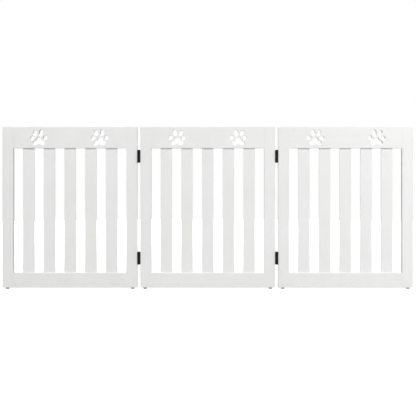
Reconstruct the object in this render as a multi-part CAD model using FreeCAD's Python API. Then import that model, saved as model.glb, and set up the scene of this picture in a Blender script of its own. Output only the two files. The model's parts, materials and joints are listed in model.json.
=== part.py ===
import FreeCAD, Part
import math
import os

# A free-standing pet gate: three slatted panels of painted board in one row, joined by
# double-action hinges, so that each outer panel folds to the front or to the back.
# Millimetres. +X runs along the gate to the right as seen from the front, the front faces
# -Y, and +Z is up. The origin is on the floor, under the middle of the gate.

# Panels
PANEL_WIDTH = 507.0
PANEL_HEIGHT = 604.0
BOARD_THICKNESS = 15.0
SEAM_GAP = 11.5
FOOT_HEIGHT = 6.0
STILE_WIDTH = 41.0
TOP_RAIL_HEIGHT = 80.0
BOTTOM_RAIL_HEIGHT = 55.0
SLAT_COUNT = 5
SLAT_WIDTH = 43.0
SLAT_THICKNESS = 5.0
TENON_LENGTH = 10.0

# Eased edges
OUTER_EASING = 1.2
JOINT_EASING = 0.7
SLAT_EASING = 0.8
PAW_EASING = 0.6

# Glued joints
DOWEL_RADIUS = 4.0
DOWEL_LENGTH = 40.0
DOWEL_CHAMFER = 1.0
TOP_DOWEL_OFFSET = 22.0
BOTTOM_DOWEL_OFFSET = 14.0
GLUE_ROOM = 0.5
FIT = 0.03

# Feet: a plastic glide under each stile, held by a nail
FOOT_RADIUS = 6.5
FOOT_INSET = 17.5
FOOT_CHAMFER = 0.6
NAIL_RADIUS = 1.0
NAIL_HEAD_RADIUS = 3.0
NAIL_HEAD_HEIGHT = 1.0
NAIL_HEAD_RECESS = 1.2
NAIL_GRIP = 14.0

# Hinges: two vertical pin axes at each seam, one in front of the boards and one behind them
HINGE_INSET = 110.5
HINGE_HEIGHT = 46.0
AXIS_OFFSET = 9.0
KNUCKLE_RADIUS = SEAM_GAP / 2
KNUCKLE_LENGTH = 6.0
BORE_RADIUS = 3.75
PIN_RADIUS = 3.7
PIN_HEAD_RADIUS = 4.9
PIN_HEAD_HEIGHT = 1.0
PLATE_THICKNESS = 1.8
STRAP_HALF_WIDTH = 3.2
STRAP_CORNER = 1.0
CURL_SLIT = 0.5
RUNNING_GAP = 0.2

# Wood screws through the leaves
SCREW_OFFSET = 15.0
SCREW_RADIUS = 1.6
SCREW_HEAD_RADIUS = 2.9
SCREW_HEAD_HEIGHT = 1.6
SCREW_LENGTH = 22.0
SCREW_POINT = 3.0
RECESS_WIDTH = 0.7
RECESS_SPAN = 3.4
RECESS_DEPTH = 0.9

# Paw cut-outs in the top rail. Each toe is an ellipse and the pad is three round lobes,
# with x from the paw's middle and the drop measured down from the panel's top edge.
PAW_OFFSET = 115.0
# how far the middle of each panel's pair of paws sits from the middle of the panel
PAW_SHIFTS = {"left": -1.5, "middle": 0.0, "right": 1.5}
# x, drop, half width, half height, lean to the left in degrees
TOES = [
    (-24.4, 40.8, 8.1, 8.6, 0.0),
    (-8.0, 22.3, 7.9, 12.6, 9.0),
    (13.9, 23.4, 7.4, 10.9, -22.0),
    (24.5, 42.0, 8.1, 8.7, 0.0),
]
# x, drop, radius, going round from the top lobe over the left one to the right one
PAD_LOBES = [
    (0.5, 49.2, 10.6),
    (-13.9, 60.0, 8.7),
    (14.4, 60.2, 8.7),
]
# radius of the hollow between each lobe and the next
PAD_HOLLOWS = [6.0, 17.0, 6.0]

# Derived sizes
HALF_THICKNESS = BOARD_THICKNESS / 2
HALF_PANEL = PANEL_WIDTH / 2
HALF_HINGE = HINGE_HEIGHT / 2
TOP = FOOT_HEIGHT + PANEL_HEIGHT
OPENING_WIDTH = PANEL_WIDTH - 2 * STILE_WIDTH
OPENING_BOTTOM = FOOT_HEIGHT + BOTTOM_RAIL_HEIGHT
OPENING_TOP = TOP - TOP_RAIL_HEIGHT
SLAT_GAP = (OPENING_WIDTH - SLAT_COUNT * SLAT_WIDTH) / (SLAT_COUNT + 1)
PANEL_PITCH = PANEL_WIDTH + SEAM_GAP
PANEL_CENTRES = {"left": -PANEL_PITCH, "middle": 0.0, "right": PANEL_PITCH}
SEAM_CENTRES = {"left": -PANEL_PITCH / 2, "right": PANEL_PITCH / 2}
HINGE_CENTRES = {"upper": TOP - HINGE_INSET, "lower": FOOT_HEIGHT + HINGE_INSET}

# Two positions closer than this are taken as the same when edges are picked
NEAR = 0.01

ORIGIN = FreeCAD.Vector(0, 0, 0)
X_AXIS = FreeCAD.Vector(1, 0, 0)
Z_AXIS = FreeCAD.Vector(0, 0, 1)
LEFT = -1
RIGHT = 1


def vector(x, y, z):
    return FreeCAD.Vector(x, y, z)


def block(x_range, y_range, z_range):
    """A box between the given limits along each axis."""
    corner = vector(x_range[0], y_range[0], z_range[0])
    size = [limits[1] - limits[0] for limits in (x_range, y_range, z_range)]
    return Part.makeBox(*size, corner)


def rod(radius, start, direction, length):
    """A plain cylinder."""
    return Part.makeCylinder(radius, length, start, direction)


def picked(solid, chosen):
    """The edges of a solid whose middle points are chosen."""
    return [edge for edge in solid.Edges if chosen(edge.CenterOfMass)]


def eased(solid, radius, chosen):
    """The solid with a small round on the chosen edges."""
    return solid.makeFillet(radius, picked(solid, chosen))


def chamfered(solid, size, chosen):
    """The solid with the chosen edges cut back at 45 degrees."""
    return solid.makeChamfer(size, picked(solid, chosen))


def near(value, target):
    return abs(value - target) < NEAR


def between(value, low, high):
    """True if a value lies in a range or on its limits."""
    return low - NEAR < value < high + NEAR


def on_face(point):
    """True for a point in the plane of a board's front or back face."""
    return near(abs(point.y), HALF_THICKNESS)


def dowel_places():
    """Height of each dowel in one stile-to-rail side of a panel."""
    top_rail = (TOP + OPENING_TOP) / 2
    bottom_rail = (FOOT_HEIGHT + OPENING_BOTTOM) / 2
    top_pair = [top_rail - TOP_DOWEL_OFFSET, top_rail + TOP_DOWEL_OFFSET]
    bottom_pair = [bottom_rail - BOTTOM_DOWEL_OFFSET, bottom_rail + BOTTOM_DOWEL_OFFSET]
    return top_pair + bottom_pair


def dowel_hole(joint_x, height):
    """The drilling for one dowel, half in the stile and half in the rail."""
    length = DOWEL_LENGTH + 2 * GLUE_ROOM
    return rod(DOWEL_RADIUS + FIT, vector(joint_x - length / 2, 0, height), X_AXIS, length)


def dowel(joint_x, height):
    """One hardwood dowel, chamfered at both ends."""
    start = vector(joint_x - DOWEL_LENGTH / 2, 0, height)
    pin = rod(DOWEL_RADIUS, start, X_AXIS, DOWEL_LENGTH)
    return chamfered(pin, DOWEL_CHAMFER, lambda p: near(abs(p.x - joint_x), DOWEL_LENGTH / 2))


def joint_faces(centre):
    """X of the planes where the rails of a panel meet its two stiles."""
    return [centre - OPENING_WIDTH / 2, centre + OPENING_WIDTH / 2]


def foot_places(centre):
    return [centre - HALF_PANEL + FOOT_INSET, centre + HALF_PANEL - FOOT_INSET]


def pilot_holes(seam_x, side):
    """Drillings for the screws of both hinges in the stile on one side of a seam."""
    start_x = seam_x + side * SEAM_GAP / 2
    depth = SCREW_LENGTH - PLATE_THICKNESS + GLUE_ROOM
    holes = []
    for hinge_z in HINGE_CENTRES.values():
        for offset in (-SCREW_OFFSET, SCREW_OFFSET):
            start = vector(start_x, 0, hinge_z + offset)
            holes.append(rod(SCREW_RADIUS + FIT, start, X_AXIS * side, depth))
    return holes


def seam_beside(stile_outer_x):
    """The seam whose gap starts at the given stile edge, or None at the ends of the gate."""
    for seam_x in SEAM_CENTRES.values():
        if near(abs(seam_x - stile_outer_x), SEAM_GAP / 2):
            return seam_x
    return None


def stile(centre, side):
    """A full-height upright of a panel, on its left or right side."""
    inner = centre + side * OPENING_WIDTH / 2
    outer = centre + side * HALF_PANEL
    board = block(sorted((inner, outer)), (-HALF_THICKNESS, HALF_THICKNESS), (FOOT_HEIGHT, TOP))
    board = eased(board, JOINT_EASING, lambda p: near(p.x, inner) and on_face(p))
    board = eased(board, OUTER_EASING, lambda p: is_stile_rim(p, inner, outer))
    holes = [dowel_hole(inner, height) for height in dowel_places()]
    foot_x = centre + side * (HALF_PANEL - FOOT_INSET)
    holes.append(rod(NAIL_RADIUS + FIT, vector(foot_x, 0, FOOT_HEIGHT), Z_AXIS, NAIL_GRIP + GLUE_ROOM))
    seam_x = seam_beside(outer)
    if seam_x is not None:
        holes += pilot_holes(seam_x, -side)
    return board.cut(holes)


def is_stile_rim(point, inner, outer):
    """True for the long outer edges of a stile and for the rims of its two ends."""
    at_end = near(point.z, FOOT_HEIGHT) or near(point.z, TOP)
    long_outer = near(point.x, outer) and on_face(point)
    return long_outer or (at_end and not near(point.x, inner))


def rail(centre, z_range, outer_z):
    """A cross board between the stiles; outer_z is the height of its outward edge."""
    ends = joint_faces(centre)
    board = block(ends, (-HALF_THICKNESS, HALF_THICKNESS), z_range)
    board = eased(board, JOINT_EASING, lambda p: on_face(p) and not near(p.z, outer_z))
    board = eased(board, OUTER_EASING, lambda p: on_face(p) and near(p.z, outer_z))
    holes = []
    for end in ends:
        for height in dowel_places():
            if z_range[0] < height < z_range[1]:
                holes.append(dowel_hole(end, height))
    return board.cut(holes)


def slat_centres(centre):
    first = centre - OPENING_WIDTH / 2 + SLAT_GAP + SLAT_WIDTH / 2
    return [first + index * (SLAT_GAP + SLAT_WIDTH) for index in range(SLAT_COUNT)]


def slat(slat_x, room=0.0):
    """A thin upright that ends in a mortise in each rail, or the mortise if room is given."""
    half_width = SLAT_WIDTH / 2 + room
    half_depth = SLAT_THICKNESS / 2 + room
    reach = TENON_LENGTH + (GLUE_ROOM if room else 0.0)
    board = block(
        (slat_x - half_width, slat_x + half_width),
        (-half_depth, half_depth),
        (OPENING_BOTTOM - reach, OPENING_TOP + reach),
    )
    middle = (OPENING_BOTTOM + OPENING_TOP) / 2
    return eased(board, SLAT_EASING, lambda p: near(p.z, middle))


def mortises(centre):
    return [slat(slat_x, FIT) for slat_x in slat_centres(centre)]


def toe_face(x, drop, half_width, half_height, lean):
    """One toe as a flat ellipse, drawn with its height along +Y."""
    toe = Part.Face(Part.Wire(Part.Ellipse(ORIGIN, half_height, half_width).toShape()))
    toe.rotate(ORIGIN, Z_AXIS, 90 + lean)
    toe.translate(vector(x, -drop, 0))
    return toe


def hollow_centre(first, second, radius):
    """Centre of an arc that touches two lobes from outside, to the right of first-to-second."""
    start = vector(first[0], -first[1], 0)
    step = vector(second[0], -second[1], 0) - start
    to_first = first[2] + radius
    to_second = second[2] + radius
    along = (step.Length ** 2 + to_first ** 2 - to_second ** 2) / (2 * step.Length)
    across = math.sqrt(to_first ** 2 - along ** 2)
    forward = step * (1 / step.Length)
    outward = vector(forward.y, -forward.x, 0)
    return start + forward * along + outward * across


def point_towards(centre, target, radius):
    """The point at the given distance from a centre, on the way to a target."""
    away = target - centre
    return centre + away * (radius / away.Length)


def pad_face():
    """The pad as one smooth outline: three lobes joined by hollow arcs."""
    count = len(PAD_LOBES)
    middles = [vector(lobe[0], -lobe[1], 0) for lobe in PAD_LOBES]
    radii = [lobe[2] for lobe in PAD_LOBES]
    centroid = (middles[0] + middles[1] + middles[2]) * (1 / count)
    edges = []
    joins = []
    for index, hollow in enumerate(PAD_HOLLOWS):
        following = (index + 1) % count
        centre = hollow_centre(PAD_LOBES[index], PAD_LOBES[following], hollow)
        leave = point_towards(middles[index], centre, radii[index])
        arrive = point_towards(middles[following], centre, radii[following])
        deepest = point_towards(centre, (leave + arrive) * 0.5, hollow)
        edges.append(Part.Arc(leave, deepest, arrive).toShape())
        joins.append((leave, arrive))
    for index, middle in enumerate(middles):
        arrive = joins[index - 1][1]
        leave = joins[index][0]
        outermost = point_towards(middle, middle * 2 - centroid, radii[index])
        edges.append(Part.Arc(arrive, outermost, leave).toShape())
    return Part.Face(Part.Wire(Part.sortEdges(edges)[0]))


def paw_cutters(pair_centre, mirrored):
    """Through cutters for both paws of a panel; a mirrored panel is fitted back to front."""
    faces = [toe_face(*toe) for toe in TOES] + [pad_face()]
    cutters = []
    for offset in (-PAW_OFFSET, PAW_OFFSET):
        for face in faces:
            cutter = face.extrude(Z_AXIS * (2 * BOARD_THICKNESS))
            cutter.translate(vector(0, 0, -BOARD_THICKNESS))
            cutter.rotate(ORIGIN, X_AXIS, 90)
            if mirrored:
                cutter = cutter.mirror(ORIGIN, X_AXIS)
            cutter.translate(vector(pair_centre + offset, 0, TOP))
            cutters.append(cutter)
    return cutters


def top_rail(centre, paw_shift, mirrored):
    board = rail(centre, (OPENING_TOP, TOP), TOP)
    cutters = paw_cutters(centre + paw_shift, mirrored)
    board = board.cut(cutters)
    outlines = [cutter.BoundBox for cutter in cutters]
    board = eased(board, PAW_EASING, lambda p: on_face(p) and in_any_outline(p, outlines))
    return board.cut(mortises(centre))


def in_any_outline(point, outlines):
    """True if a point, seen from the front, lies in one of the given boxes."""
    return any(
        between(point.x, box.XMin, box.XMax) and between(point.z, box.ZMin, box.ZMax)
        for box in outlines
    )


def bottom_rail(centre):
    board = rail(centre, (FOOT_HEIGHT, OPENING_BOTTOM), FOOT_HEIGHT)
    return board.cut(mortises(centre))


def foot_pad(foot_x):
    """A round glide with a counterbore for its nail and a chamfered lower rim."""
    pad = rod(FOOT_RADIUS, vector(foot_x, 0, 0), Z_AXIS, FOOT_HEIGHT)
    pad = chamfered(pad, FOOT_CHAMFER, lambda p: near(p.z, 0))
    recess_height = NAIL_HEAD_RECESS + NAIL_HEAD_HEIGHT
    recess = rod(NAIL_HEAD_RADIUS + FIT, vector(foot_x, 0, 0), Z_AXIS, recess_height)
    hole = rod(NAIL_RADIUS + FIT, vector(foot_x, 0, 0), Z_AXIS, FOOT_HEIGHT)
    return pad.cut([recess, hole])


def foot_nail(foot_x):
    """A flat-headed nail that runs up through the glide into the stile."""
    head = rod(NAIL_HEAD_RADIUS, vector(foot_x, 0, NAIL_HEAD_RECESS), Z_AXIS, NAIL_HEAD_HEIGHT)
    shank_start = NAIL_HEAD_RECESS + NAIL_HEAD_HEIGHT / 2
    point = FOOT_HEIGHT + NAIL_GRIP - SCREW_POINT
    shank = rod(NAIL_RADIUS, vector(foot_x, 0, shank_start), Z_AXIS, point - shank_start)
    tip = Part.makeCone(NAIL_RADIUS, 0, SCREW_POINT, vector(foot_x, 0, point), Z_AXIS)
    return head.fuse([shank, tip]).removeSplitter()


def panel(name, centre, paw_shift, mirrored):
    """Every wooden piece, dowel and foot of one panel, by node name."""
    pieces = {
        "left_stile": stile(centre, LEFT),
        "right_stile": stile(centre, RIGHT),
        "top_rail": top_rail(centre, paw_shift, mirrored),
        "bottom_rail": bottom_rail(centre),
    }
    for number, slat_x in enumerate(slat_centres(centre), start=1):
        pieces["slat_%d" % number] = slat(slat_x)
    dowels = [dowel(face, height) for face in joint_faces(centre) for height in dowel_places()]
    feet = foot_places(centre)
    pieces["dowels"] = Part.makeCompound(dowels)
    pieces["foot_pads"] = Part.makeCompound([foot_pad(foot_x) for foot_x in feet])
    pieces["foot_nails"] = Part.makeCompound([foot_nail(foot_x) for foot_x in feet])
    return {"%s_panel_%s" % (name, piece): shape for piece, shape in pieces.items()}


# Each hinge piece is made round the hinge's own centre: X across the seam, Y through the
# boards, Z up. The upper half of a left leaf curls round the front axis and its lower half
# round the back axis; a right leaf is the same part turned half round.

def knuckle(axis_y, z_range):
    """One plain sleeve round a pin axis."""
    start = vector(0, axis_y, z_range[0])
    length = z_range[1] - z_range[0]
    return rod(KNUCKLE_RADIUS, start, Z_AXIS, length).cut(rod(BORE_RADIUS, start, Z_AXIS, length))


def curl_levels(half):
    """Heights of the two leaf knuckles in the upper (+1) or lower (-1) half of a hinge."""
    near_middle = (RUNNING_GAP, KNUCKLE_LENGTH)
    at_end = (HALF_HINGE - KNUCKLE_LENGTH, HALF_HINGE)
    return [sorted((half * low, half * high)) for low, high in (near_middle, at_end)]


def link_level(half):
    """Height range of the cross link in one half, between the leaf knuckles."""
    low = KNUCKLE_LENGTH + RUNNING_GAP
    high = HALF_HINGE - KNUCKLE_LENGTH - RUNNING_GAP
    return sorted((half * low, half * high))


def rolled_curl(axis_side, z_range):
    """A leaf's knuckle: its plate runs past the board's face and rolls round the pin axis."""
    axis_y = axis_side * AXIS_OFFSET
    plate_face = -KNUCKLE_RADIUS + PLATE_THICKNESS
    tab_y = sorted((axis_y, axis_side * STRAP_HALF_WIDTH))
    tab = block((-KNUCKLE_RADIUS, plate_face), tab_y, z_range)
    curl = knuckle(axis_y, z_range).fuse(tab)
    slit_y = sorted((axis_y, axis_side * (AXIS_OFFSET - KNUCKLE_RADIUS)))
    return curl.cut(block((plate_face, plate_face + CURL_SLIT), slit_y, z_range))


def screw_heights():
    return [-SCREW_OFFSET, SCREW_OFFSET]


def left_leaf():
    """The leaf screwed to the edge of the panel on the left of a seam."""
    plate_x = (-KNUCKLE_RADIUS, -KNUCKLE_RADIUS + PLATE_THICKNESS)
    strap = block(plate_x, (-STRAP_HALF_WIDTH, STRAP_HALF_WIDTH), (-HALF_HINGE, HALF_HINGE))
    curls = []
    for half, axis_side in ((1, -1), (-1, 1)):
        curls += [rolled_curl(axis_side, level) for level in curl_levels(half)]
    leaf = strap.fuse(curls).removeSplitter()
    leaf = eased(leaf, STRAP_CORNER, is_free_corner)
    sinks = []
    for height in screw_heights():
        face = vector(plate_x[1], 0, height)
        sinks.append(rod(SCREW_RADIUS + FIT, face, -X_AXIS, PLATE_THICKNESS))
        sinks.append(countersink(face, FIT))
    return leaf.cut(sinks)


def is_free_corner(point):
    """True for the two corners of a leaf's strap that carry no knuckle."""
    above = near(point.y, STRAP_HALF_WIDTH) and near(point.z, HALF_HINGE)
    below = near(point.y, -STRAP_HALF_WIDTH) and near(point.z, -HALF_HINGE)
    return above or below


def countersink(face, room=0.0):
    """The cone of a screw head that sinks to the left from a face, with room all round."""
    wide = SCREW_HEAD_RADIUS + room
    narrow = SCREW_RADIUS + room
    return Part.makeCone(wide, narrow, SCREW_HEAD_HEIGHT, face, -X_AXIS)


def left_screw(height):
    """A countersunk wood screw that holds the left leaf, with a cross recess in its head."""
    face_x = -KNUCKLE_RADIUS + PLATE_THICKNESS
    face = vector(face_x, 0, height)
    head = countersink(face)
    shank_start = face - X_AXIS * (SCREW_HEAD_HEIGHT / 2)
    shank_end = face - X_AXIS * (SCREW_LENGTH - SCREW_POINT)
    shank = rod(SCREW_RADIUS, shank_start, -X_AXIS, shank_start.x - shank_end.x)
    tip = Part.makeCone(SCREW_RADIUS, 0, SCREW_POINT, shank_end, -X_AXIS)
    recess_x = (face_x - RECESS_DEPTH, face_x)
    narrow = RECESS_WIDTH / 2
    wide = RECESS_SPAN / 2
    slots = [
        block(recess_x, (-wide, wide), (height - narrow, height + narrow)),
        block(recess_x, (-narrow, narrow), (height - wide, height + wide)),
    ]
    return head.fuse([shank, tip]).removeSplitter().cut(slots)


def cross_link(half):
    """A link with a knuckle on each axis and a flat web that crosses from side to side."""
    level = link_level(half)
    offset = KNUCKLE_RADIUS - PLATE_THICKNESS / 2
    slant = math.degrees(math.asin(offset / AXIS_OFFSET))
    half_length = math.sqrt(AXIS_OFFSET ** 2 - offset ** 2)
    web = block((-PLATE_THICKNESS / 2, PLATE_THICKNESS / 2), (-half_length, half_length), level)
    web.rotate(ORIGIN, Z_AXIS, half * slant)
    sleeves = [knuckle(axis_side * AXIS_OFFSET, level) for axis_side in (-1, 1)]
    return web.fuse(sleeves).cut([bore(axis_side, level) for axis_side in (-1, 1)]).removeSplitter()


def bore(axis_side, level):
    return rod(BORE_RADIUS, vector(0, axis_side * AXIS_OFFSET, level[0]), Z_AXIS, level[1] - level[0])


def hinge_pin(half, axis_side):
    """A pin through one half of the hinge, with a rounded rivet head at its outer end."""
    start = vector(0, axis_side * AXIS_OFFSET, half * RUNNING_GAP)
    outward = Z_AXIS * half
    length = HALF_HINGE - RUNNING_GAP
    shank = rod(PIN_RADIUS, start, outward, length + PIN_HEAD_HEIGHT / 2)
    head = rod(PIN_HEAD_RADIUS, start + outward * length, outward, PIN_HEAD_HEIGHT)
    head = eased(head, PIN_HEAD_HEIGHT / 2, lambda p: near(abs(p.z), HALF_HINGE + PIN_HEAD_HEIGHT))
    return shank.fuse(head).removeSplitter()


def placed(shape, side, seam_x, hinge_z):
    """A copy of a left-hand hinge piece, turned half round for the right side, at its hinge."""
    copy = shape.copy()
    if side == RIGHT:
        copy.rotate(ORIGIN, Z_AXIS, 180)
    copy.translate(vector(seam_x, 0, hinge_z))
    return copy


def seam(name, seam_x):
    """Both hinges of one seam, by node name; pins and screws are grouped by side."""
    pieces = {}
    leaf = left_leaf()
    pins = Part.makeCompound([hinge_pin(1, -1), hinge_pin(-1, 1)])
    screws = Part.makeCompound([left_screw(height) for height in screw_heights()])
    for hinge, hinge_z in HINGE_CENTRES.items():
        prefix = "%s_seam_%s_hinge" % (name, hinge)
        pieces[prefix + "_left_leaf"] = placed(leaf, LEFT, seam_x, hinge_z)
        pieces[prefix + "_right_leaf"] = placed(leaf, RIGHT, seam_x, hinge_z)
        pieces[prefix + "_upper_link"] = placed(cross_link(1), LEFT, seam_x, hinge_z)
        pieces[prefix + "_lower_link"] = placed(cross_link(-1), LEFT, seam_x, hinge_z)
    for side_name, side in (("left", LEFT), ("right", RIGHT)):
        for kind, shape in (("pins", pins), ("screws", screws)):
            solids = []
            for hinge_z in HINGE_CENTRES.values():
                solids += placed(shape, side, seam_x, hinge_z).Solids
            pieces["%s_seam_%s_%s" % (name, side_name, kind)] = Part.makeCompound(solids)
    return pieces


def main():
    os.makedirs("parts", exist_ok=True)
    nodes = {}
    for name, centre in PANEL_CENTRES.items():
        nodes.update(panel(name, centre, PAW_SHIFTS[name], mirrored=(name == "left")))
    for name, seam_x in SEAM_CENTRES.items():
        nodes.update(seam(name, seam_x))
    for node, shape in nodes.items():
        shape.exportStep("parts/%s.step" % node)


main()
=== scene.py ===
import json
import math

import bmesh
import bpy
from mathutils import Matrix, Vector


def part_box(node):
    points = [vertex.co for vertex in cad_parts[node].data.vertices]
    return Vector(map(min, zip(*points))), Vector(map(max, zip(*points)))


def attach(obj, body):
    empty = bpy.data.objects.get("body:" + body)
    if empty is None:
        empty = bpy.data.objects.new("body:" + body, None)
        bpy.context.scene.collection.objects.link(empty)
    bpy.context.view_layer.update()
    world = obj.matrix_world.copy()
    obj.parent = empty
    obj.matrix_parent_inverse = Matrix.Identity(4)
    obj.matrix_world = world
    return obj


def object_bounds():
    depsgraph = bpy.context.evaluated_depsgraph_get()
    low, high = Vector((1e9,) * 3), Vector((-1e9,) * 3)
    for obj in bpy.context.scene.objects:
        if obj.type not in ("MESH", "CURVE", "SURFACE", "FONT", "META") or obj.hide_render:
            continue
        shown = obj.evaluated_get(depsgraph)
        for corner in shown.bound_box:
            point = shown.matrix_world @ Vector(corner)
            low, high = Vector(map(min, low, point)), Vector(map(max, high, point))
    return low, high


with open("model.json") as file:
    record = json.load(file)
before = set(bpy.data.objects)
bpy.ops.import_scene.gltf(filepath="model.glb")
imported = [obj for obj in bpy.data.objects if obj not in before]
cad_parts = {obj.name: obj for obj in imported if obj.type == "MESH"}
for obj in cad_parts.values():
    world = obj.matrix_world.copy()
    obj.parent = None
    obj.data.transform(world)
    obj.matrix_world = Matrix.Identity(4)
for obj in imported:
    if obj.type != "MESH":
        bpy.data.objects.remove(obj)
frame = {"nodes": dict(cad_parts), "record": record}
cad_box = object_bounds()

# A white folding pet gate on a pale studio floor. Metres, in the CAD model's own frame: +X runs
# along the gate, the front faces -Y, +Z is up, and the floor is at z = 0.

# Camera: square on to the front, a little above the middle of the gate
VIEW_DISTANCE = 2.70
VIEW_WIDTH = 1.564
VIEW_SIDE_SHIFT = 0.001
VIEW_RISE = 0.10
SENSOR_WIDTH = 36.0

# Suns: where the light comes from, the radiance a white face square to it would send back, and
# the width of the source in degrees
SUNS = {
    "key": ((0.05, -1.0, 0.95), 0.495, 8),
    "back_fill": ((0.0, 1.0, 0.5), 0.52, 40),
}
# Softboxes: place, the point they face, side in metres and power in watts
SOFTBOXES = {
    "top_softbox": ((-0.85, -1.5, 2.0), (-0.45, 0.0, 0.5), 0.8, 11.0),
    "right_softbox": ((1.45, -1.25, 1.20), (0.65, 0.0, 0.40), 0.9, 9.5),
}

# Surround: how bright it looks to the camera, and how brightly it lights the gate
BACKGROUND = 1.0
AMBIENT = 0.20

# Floor: a lit tone, and a glow that rises to the surround's brightness between two distances
FLOOR_RADIUS = 5.0
FLOOR_SIDES = 96
FLOOR_ROUGHNESS = 0.9
FLOOR_FADE_START = 1.2
FLOOR_FADE_END = 2.6
FLOOR_TONE = 0.60
FLOOR_LIFT = 0.62

# The round on the slats' long edges, which repeats the CAD model's
SLAT_EASING = 0.0008

# The bead of paint round each slat, and how finely it is rounded
BEAD_RADIUS = 0.0009
BEAD_SINK = 0.0001
BEAD_STEPS = 5
CORNER_STEPS = 4

PANELS = ("left", "middle", "right")
SLATS_PER_PANEL = 5


# Shader building

def socket(node, name):
    """An input by name; Mix nodes repeat names, so the first one that is switched on is meant."""
    return next(entry for entry in node.inputs if entry.name == name and entry.enabled)


def connect(tree, target, value):
    """Links a node's output to an input, or sets the input's own value."""
    if isinstance(value, bpy.types.NodeSocket):
        tree.links.new(value, target)
    else:
        target.default_value = value


def add_node(tree, kind, inputs=None, **settings):
    """A new node with its settings and inputs filled in."""
    node = tree.nodes.new("ShaderNode" + kind)
    for name, value in settings.items():
        setattr(node, name, value)
    for name, value in (inputs or {}).items():
        connect(tree, socket(node, name), value)
    return node


def new_material(name):
    """A material with only a Principled shader and its output: returns it, its tree and shader."""
    material = bpy.data.materials.new(name)
    material.use_nodes = True
    tree = material.node_tree
    return material, tree, tree.nodes["Principled BSDF"]


def place_on(tree, stretch=(1, 1, 1)):
    """Places on the object in metres, multiplied along each axis."""
    place = add_node(tree, "TexCoord").outputs["Object"]
    return add_node(tree, "Mapping", {"Vector": place, "Scale": stretch}).outputs["Vector"]


def noise(tree, vector, scale, detail=3.0, roughness=0.5):
    inputs = {"Vector": vector, "Scale": scale, "Detail": detail, "Roughness": roughness}
    return add_node(tree, "TexNoise", inputs).outputs["Fac"]


def remap(tree, value, source, target=(0.0, 1.0)):
    """The value moved from one range to another and held inside it."""
    inputs = {
        "Value": value,
        "From Min": source[0],
        "From Max": source[1],
        "To Min": target[0],
        "To Max": target[1],
    }
    return add_node(tree, "MapRange", inputs).outputs["Result"]


def multiply(tree, first, second):
    node = add_node(tree, "Math", operation="MULTIPLY")
    connect(tree, node.inputs[0], first)
    connect(tree, node.inputs[1], second)
    return node.outputs["Value"]


def mix_colour(tree, factor, first, second):
    node = add_node(tree, "Mix", data_type="RGBA")
    for name, value in (("Factor", factor), ("A", first), ("B", second)):
        connect(tree, socket(node, name), solid(value))
    return next(entry for entry in node.outputs if entry.enabled)


def solid(value):
    """A colour with full alpha; a number or a node's output is left as it is."""
    return (*value, 1.0) if isinstance(value, tuple) else value


def bump(tree, height, depth, strength, below=None):
    """A bump layer, laid over another one if given."""
    inputs = {"Height": height, "Distance": depth, "Strength": strength}
    if below is not None:
        inputs["Normal"] = below
    return add_node(tree, "Bump", inputs).outputs["Normal"]


# An edge is where a slightly rounded normal turns away from the flat one; the range is of the
# cosine between them, from no edge to a full one
EDGE_SAMPLES = 4
EDGE_TURN = (0.995, 0.85)


def edge_mask(tree, radius):
    """Near 1 along outward and inward edges of the shape, and 0 on its flat faces."""
    rounded = add_node(tree, "Bevel", {"Radius": radius}, samples=EDGE_SAMPLES).outputs["Normal"]
    flat = add_node(tree, "NewGeometry").outputs["Normal"]
    alike = add_node(tree, "VectorMath", operation="DOT_PRODUCT")
    tree.links.new(rounded, alike.inputs[0])
    tree.links.new(flat, alike.inputs[1])
    return remap(tree, alike.outputs["Value"], EDGE_TURN)


def height_above_floor(tree):
    place = add_node(tree, "TexCoord").outputs["Object"]
    return add_node(tree, "SeparateXYZ", {"Vector": place}).outputs["Z"]


# Materials. A SCALE is in features per metre, a GRAIN is one such scale for each axis, and a DEPTH
# is the height of a bump in metres. Pairs in remap() are the ends of a noise's range.

PAINT_WHITE = (0.845, 0.845, 0.84)
PAINT_THIN = (0.80, 0.80, 0.79)
PAINT_RUBBED = (0.70, 0.69, 0.67)
FLOOR_SCUFF = (0.55, 0.54, 0.52)
SCUFF_HEIGHT = 0.035
SCUFF_GRAIN = (60, 60, 400)
PEEL_SCALE = 620.0
PEEL_DEPTH = 0.0001
CLOUD_SCALE = 7.0
RUB_SCALE = 90.0
RUB_EDGE = 0.0007
RUB_AMOUNT = 0.45
GLOSS_SCALE = 35.0
BRUSH_DEPTH = 0.00012
UPRIGHT_GRAIN = (210, 210, 5)
CROSSWISE_GRAIN = (5, 210, 210)


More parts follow.
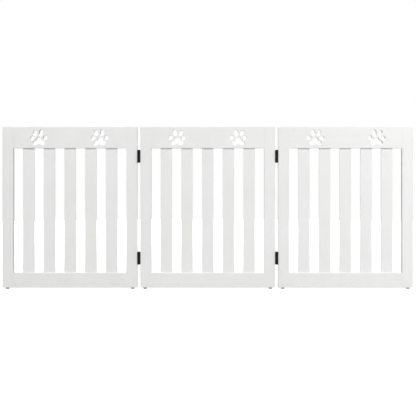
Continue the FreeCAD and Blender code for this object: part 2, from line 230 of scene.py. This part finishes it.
def white_paint(name, grain):
    """Satin paint rolled over fibreboard: orange peel, faint brush lines along the board, thin
    arrises and a few scuffs just above the floor. grain stretches the lines along the board."""
    material, tree, shader = new_material(name)
    place = place_on(tree)
    along_board = place_on(tree, grain)
    lines = noise(tree, along_board, 1.0, detail=4.0, roughness=0.6)
    peel = noise(tree, place, PEEL_SCALE, detail=2.0)
    cloud = noise(tree, place, CLOUD_SCALE, detail=3.0)
    patches = remap(tree, noise(tree, place, RUB_SCALE), (0.45, 0.68))

    colour = mix_colour(tree, remap(tree, cloud, (0.35, 0.7), (0.0, 0.6)), PAINT_WHITE, PAINT_THIN)
    colour = mix_colour(tree, remap(tree, lines, (0.5, 0.75), (0.0, 0.35)), colour, PAINT_THIN)
    rubbed = multiply(tree, edge_mask(tree, RUB_EDGE), multiply(tree, patches, RUB_AMOUNT))
    colour = mix_colour(tree, rubbed, colour, PAINT_RUBBED)
    low = remap(tree, height_above_floor(tree), (SCUFF_HEIGHT, 0.0))
    streaks = noise(tree, place_on(tree, SCUFF_GRAIN), 1.0)
    marks = remap(tree, streaks, (0.56, 0.72), (0.0, 0.5))
    colour = mix_colour(tree, multiply(tree, low, marks), colour, FLOOR_SCUFF)

    tree.links.new(colour, shader.inputs["Base Color"])
    gloss = remap(tree, noise(tree, place, GLOSS_SCALE), (0.3, 0.7), (0.34, 0.46))
    tree.links.new(gloss, shader.inputs["Roughness"])
    normal = bump(tree, lines, BRUSH_DEPTH, 0.45)
    normal = bump(tree, peel, PEEL_DEPTH, 0.6, normal)
    tree.links.new(normal, shader.inputs["Normal"])
    return material


COAT_BLACK = (0.006, 0.006, 0.007)
COAT_GREY = (0.014, 0.014, 0.015)
BARE_STEEL = (0.30, 0.29, 0.28)
COAT_SHEEN = 0.14
COAT_MOTTLE_SCALE = 180.0
COAT_GRAIN_SCALE = 2200.0
COAT_GRAIN_DEPTH = 0.00003
WEAR_SCALE = 420.0
WEAR_EDGE = 0.00035


def black_coat(name, wear, roughness):
    """Black baked coat on steel with a fine grain; wear is how much steel shows at the edges."""
    material, tree, shader = new_material(name)
    place = place_on(tree)
    mottle = noise(tree, place, COAT_MOTTLE_SCALE, detail=4.0)
    grain = noise(tree, place, COAT_GRAIN_SCALE, detail=2.0)
    patches = remap(tree, noise(tree, place, WEAR_SCALE), (0.48, 0.6))
    worn = multiply(tree, edge_mask(tree, WEAR_EDGE), multiply(tree, patches, wear))

    colour = mix_colour(tree, remap(tree, mottle, (0.35, 0.7)), COAT_BLACK, COAT_GREY)
    tree.links.new(mix_colour(tree, worn, colour, BARE_STEEL), shader.inputs["Base Color"])
    tree.links.new(multiply(tree, worn, 0.9), shader.inputs["Metallic"])
    spread = remap(tree, mottle, (0.3, 0.7), (roughness - 0.06, roughness + 0.08))
    tree.links.new(spread, shader.inputs["Roughness"])
    shader.inputs["Specular IOR Level"].default_value = COAT_SHEEN
    tree.links.new(bump(tree, grain, COAT_GRAIN_DEPTH, 0.4), shader.inputs["Normal"])
    return material


OXIDE_DARK = (0.05, 0.05, 0.055)
OXIDE_OILED = (0.12, 0.115, 0.11)
OXIDE_SCALE = 600.0
OXIDE_GRAIN_SCALE = 3000.0
OXIDE_GRAIN_DEPTH = 0.00002
OXIDE_EDGE = 0.00025


def black_oxide():
    """Dark oxide on hardened steel screws, with the sheen of oil in patches."""
    material, tree, shader = new_material("black_oxide")
    place = place_on(tree)
    oil = noise(tree, place, OXIDE_SCALE, detail=3.0)
    colour = mix_colour(tree, remap(tree, oil, (0.35, 0.7)), OXIDE_DARK, OXIDE_OILED)
    bright = multiply(tree, edge_mask(tree, OXIDE_EDGE), 0.6)
    tree.links.new(mix_colour(tree, bright, colour, BARE_STEEL), shader.inputs["Base Color"])
    shader.inputs["Metallic"].default_value = 0.9
    tree.links.new(remap(tree, oil, (0.3, 0.7), (0.28, 0.48)), shader.inputs["Roughness"])
    grain = noise(tree, place, OXIDE_GRAIN_SCALE)
    tree.links.new(bump(tree, grain, OXIDE_GRAIN_DEPTH, 0.35), shader.inputs["Normal"])
    return material


PLASTIC_DARK = (0.40, 0.40, 0.39)
PLASTIC_LIGHT = (0.47, 0.47, 0.46)
PLASTIC_SCUFF = (0.62, 0.61, 0.59)
PLASTIC_SCALE = 300.0
PLASTIC_GRAIN_SCALE = 2500.0
PLASTIC_GRAIN_DEPTH = 0.00003
PLASTIC_SCRATCH_GRAIN = (900, 90, 1)
PLASTIC_WORN_HEIGHT = 0.0012


def glide_plastic():
    """Matte grey moulded plastic, scuffed lighter where it meets the floor."""
    material, tree, shader = new_material("glide_plastic")
    place = place_on(tree)
    mottle = noise(tree, place, PLASTIC_SCALE, detail=4.0)
    colour = mix_colour(tree, remap(tree, mottle, (0.3, 0.7)), PLASTIC_DARK, PLASTIC_LIGHT)
    low = remap(tree, height_above_floor(tree), (PLASTIC_WORN_HEIGHT, 0.0))
    lines = noise(tree, place_on(tree, PLASTIC_SCRATCH_GRAIN), 1.0)
    scratches = remap(tree, lines, (0.45, 0.7), (0.0, 0.8))
    colour = mix_colour(tree, multiply(tree, low, scratches), colour, PLASTIC_SCUFF)
    tree.links.new(colour, shader.inputs["Base Color"])
    tree.links.new(remap(tree, mottle, (0.3, 0.7), (0.5, 0.66)), shader.inputs["Roughness"])
    grain = noise(tree, place, PLASTIC_GRAIN_SCALE)
    tree.links.new(bump(tree, grain, PLASTIC_GRAIN_DEPTH, 0.4), shader.inputs["Normal"])
    return material


ZINC_LIGHT = (0.66, 0.67, 0.68)
ZINC_DARK = (0.50, 0.51, 0.53)
ZINC_SCALE = 900.0


def zinc_plate():
    """Bright zinc on the glide nails, with cloudy crystals."""
    material, tree, shader = new_material("zinc_plate")
    place = place_on(tree)
    crystals = add_node(tree, "TexVoronoi", {"Vector": place, "Scale": ZINC_SCALE}).outputs["Distance"]
    colour = mix_colour(tree, remap(tree, crystals, (0.1, 0.7)), ZINC_LIGHT, ZINC_DARK)
    tree.links.new(colour, shader.inputs["Base Color"])
    shader.inputs["Metallic"].default_value = 1.0
    tree.links.new(remap(tree, crystals, (0.1, 0.7), (0.26, 0.44)), shader.inputs["Roughness"])
    return material


BEECH_LIGHT = (0.66, 0.47, 0.30)
BEECH_DARK = (0.55, 0.37, 0.22)
BEECH_FLECK = (0.32, 0.19, 0.10)
BEECH_GRAIN = (45, 900, 900)
BEECH_FLECK_GRAIN = (160, 2200, 2200)
BEECH_DEPTH = 0.0001


def beech():
    """Bare beech dowels: pale pinkish wood with short dark flecks along the grain."""
    material, tree, shader = new_material("beech")
    grain = noise(tree, place_on(tree, BEECH_GRAIN), 1.0, detail=5.0, roughness=0.6)
    specks = noise(tree, place_on(tree, BEECH_FLECK_GRAIN), 1.0)
    flecks = remap(tree, specks, (0.6, 0.7), (0.0, 0.6))
    colour = mix_colour(tree, remap(tree, grain, (0.3, 0.7)), BEECH_LIGHT, BEECH_DARK)
    tree.links.new(mix_colour(tree, flecks, colour, BEECH_FLECK), shader.inputs["Base Color"])
    tree.links.new(remap(tree, grain, (0.3, 0.7), (0.55, 0.7)), shader.inputs["Roughness"])
    tree.links.new(bump(tree, grain, BEECH_DEPTH, 0.4), shader.inputs["Normal"])
    return material


def dress_cad_nodes():
    """Gives every CAD node the material of its slot, with paint lines along each board."""
    upright = white_paint("white_paint_upright", UPRIGHT_GRAIN)
    crosswise = white_paint("white_paint_crosswise", CROSSWISE_GRAIN)
    by_slot = {
        "white_paint": upright,
        "dowel_wood": beech(),
        "glide_plastic": glide_plastic(),
        "nail_steel": zinc_plate(),
        "hinge_steel": black_coat("hinge_coat", 0.5, 0.40),
        "pin_steel": black_coat("pin_coat", 0.9, 0.32),
        "screw_steel": black_oxide(),
    }
    for part in frame["record"]["subparts"]:
        material = by_slot[part["material_slot"]]
        if part["node"].endswith("_rail"):
            material = crosswise
        for material_slot in frame["nodes"][part["node"]].material_slots:
            material_slot.material = material
    return upright


# Paint beads: the little hollow fillet of paint where each slat enters a rail

def slat_outline(low, high):
    """Places and outward directions round a slat's eased section, seen from above."""
    centre = (low + high) / 2
    reach = Vector(((high.x - low.x) / 2 - SLAT_EASING, (high.y - low.y) / 2 - SLAT_EASING))
    outline = []
    for quarter, (side_x, side_y) in enumerate(((1, 1), (-1, 1), (-1, -1), (1, -1))):
        corner = Vector((centre.x + side_x * reach.x, centre.y + side_y * reach.y))
        for step in range(CORNER_STEPS + 1):
            angle = math.radians(90 * (quarter + step / CORNER_STEPS))
            outward = Vector((math.cos(angle), math.sin(angle)))
            outline.append((corner + outward * SLAT_EASING, outward))
    return outline


def bead_profile():
    """The fillet's closed section as (out from the slat, away from the rail)."""
    profile = [(BEAD_RADIUS, -BEAD_SINK), (-BEAD_SINK, -BEAD_SINK), (-BEAD_SINK, BEAD_RADIUS)]
    for step in range(BEAD_STEPS + 1):
        angle = math.radians(180 + 90 * step / BEAD_STEPS)
        out = BEAD_RADIUS * (1 + math.cos(angle))
        away = BEAD_RADIUS * (1 + math.sin(angle))
        profile.append((out, away))
    return profile


def add_bead(mesh, outline, rail_z, away_sign):
    """One closed ring of paint round a slat where it meets the rail at rail_z."""
    profile = bead_profile()
    rings = []
    for place, outward in outline:
        ring = []
        for out, away in profile:
            at = place + outward * out
            ring.append(mesh.verts.new((at.x, at.y, rail_z + away_sign * away)))
        rings.append(ring)
    for index, ring in enumerate(rings):
        following = rings[(index + 1) % len(rings)]
        for step in range(len(profile)):
            beside = (step + 1) % len(profile)
            mesh.faces.new((ring[step], following[step], following[beside], ring[beside]))


def paint_beads(panel, paint):
    """The beads at both ends of every slat of one panel, as one piece."""
    opening_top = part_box(panel + "_panel_top_rail")[0].z
    opening_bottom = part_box(panel + "_panel_bottom_rail")[1].z
    mesh = bmesh.new()
    for number in range(1, SLATS_PER_PANEL + 1):
        low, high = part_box("%s_panel_slat_%d" % (panel, number))
        outline = slat_outline(low, high)
        add_bead(mesh, outline, opening_top, -1)
        add_bead(mesh, outline, opening_bottom, 1)
    bmesh.ops.recalc_face_normals(mesh, faces=mesh.faces)
    for face in mesh.faces:
        face.smooth = True
    data = bpy.data.meshes.new(panel + "_paint_beads")
    mesh.to_mesh(data)
    mesh.free()
    beads = bpy.data.objects.new(data.name, data)
    bpy.context.scene.collection.objects.link(beads)
    data.materials.append(paint)
    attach(beads, panel + "_panel")


# Studio

def studio_world():
    """A white surround for the camera that lights the gate more softly than it looks."""
    world = bpy.data.worlds.new("studio")
    world.use_nodes = True
    bpy.context.scene.world = world
    tree = world.node_tree
    tree.nodes.clear()
    seen = add_node(tree, "Background", {"Color": (1, 1, 1, 1), "Strength": BACKGROUND})
    lighting = add_node(tree, "Background", {"Color": (1, 1, 1, 1), "Strength": AMBIENT})
    direct = add_node(tree, "LightPath").outputs["Is Camera Ray"]
    blend = add_node(tree, "MixShader", {"Fac": direct})
    tree.links.new(lighting.outputs["Background"], blend.inputs[1])
    tree.links.new(seen.outputs["Background"], blend.inputs[2])
    output = add_node(tree, "OutputWorld")
    tree.links.new(blend.outputs["Shader"], output.inputs["Surface"])


def sun(name, source, radiance, softness):
    """A soft distant light that comes from the given direction."""
    light = bpy.data.lights.new(name, "SUN")
    light.energy = radiance * math.pi
    light.angle = math.radians(softness)
    lamp = bpy.data.objects.new(name, light)
    lamp.rotation_euler = Vector(source).to_track_quat("Z", "Y").to_euler()
    bpy.context.scene.collection.objects.link(lamp)


def softbox(name, place, target, size, power):
    """A square soft light at a place, turned to face a target."""
    light = bpy.data.lights.new(name, "AREA")
    light.size = size
    light.energy = power
    lamp = bpy.data.objects.new(name, light)
    lamp.location = place
    lamp.rotation_euler = (Vector(place) - Vector(target)).to_track_quat("Z", "Y").to_euler()
    bpy.context.scene.collection.objects.link(lamp)


def floor():
    """A pale disc that melts into the white surround away from the gate."""
    mesh = bmesh.new()
    bmesh.ops.create_circle(mesh, cap_ends=True, radius=FLOOR_RADIUS, segments=FLOOR_SIDES)
    data = bpy.data.meshes.new("floor")
    mesh.to_mesh(data)
    mesh.free()
    disc = bpy.data.objects.new("floor", data)
    bpy.context.scene.collection.objects.link(disc)
    material, tree, shader = new_material("floor")
    place = add_node(tree, "TexCoord").outputs["Object"]
    distance = add_node(tree, "VectorMath", {"Vector": place}, operation="LENGTH").outputs["Value"]
    glow = remap(tree, distance, (FLOOR_FADE_START, FLOOR_FADE_END), (FLOOR_LIFT, BACKGROUND))
    glow = multiply(tree, glow, add_node(tree, "LightPath").outputs["Is Camera Ray"])
    shader.inputs["Base Color"].default_value = solid((FLOOR_TONE, FLOOR_TONE, FLOOR_TONE))
    shader.inputs["Roughness"].default_value = FLOOR_ROUGHNESS
    shader.inputs["Emission Color"].default_value = solid((1.0, 1.0, 1.0))
    tree.links.new(glow, shader.inputs["Emission Strength"])
    data.materials.append(material)


def camera():
    """Square on to the front faces, and shifted down so that the gate stays in mid-picture."""
    low, high = cad_box
    face_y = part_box("middle_panel_top_rail")[0].y
    lens = bpy.data.cameras.new("camera")
    lens.sensor_width = SENSOR_WIDTH
    lens.lens = SENSOR_WIDTH * VIEW_DISTANCE / VIEW_WIDTH
    lens.shift_y = -VIEW_RISE / VIEW_WIDTH
    eye = bpy.data.objects.new("camera", lens)
    middle = (low + high) / 2
    eye.location = (middle.x + VIEW_SIDE_SHIFT, face_y - VIEW_DISTANCE, middle.z + VIEW_RISE)
    eye.rotation_euler = (math.radians(90), 0, 0)
    bpy.context.scene.collection.objects.link(eye)
    bpy.context.scene.camera = eye


camera()
studio_world()
for name, (source, radiance, softness) in SUNS.items():
    sun(name, source, radiance, softness)
for name, (place, target, size, power) in SOFTBOXES.items():
    softbox(name, place, target, size, power)
floor()
bpy.context.scene.view_settings.view_transform = "Standard"

paint = dress_cad_nodes()
for name in PANELS:
    paint_beads(name, paint)
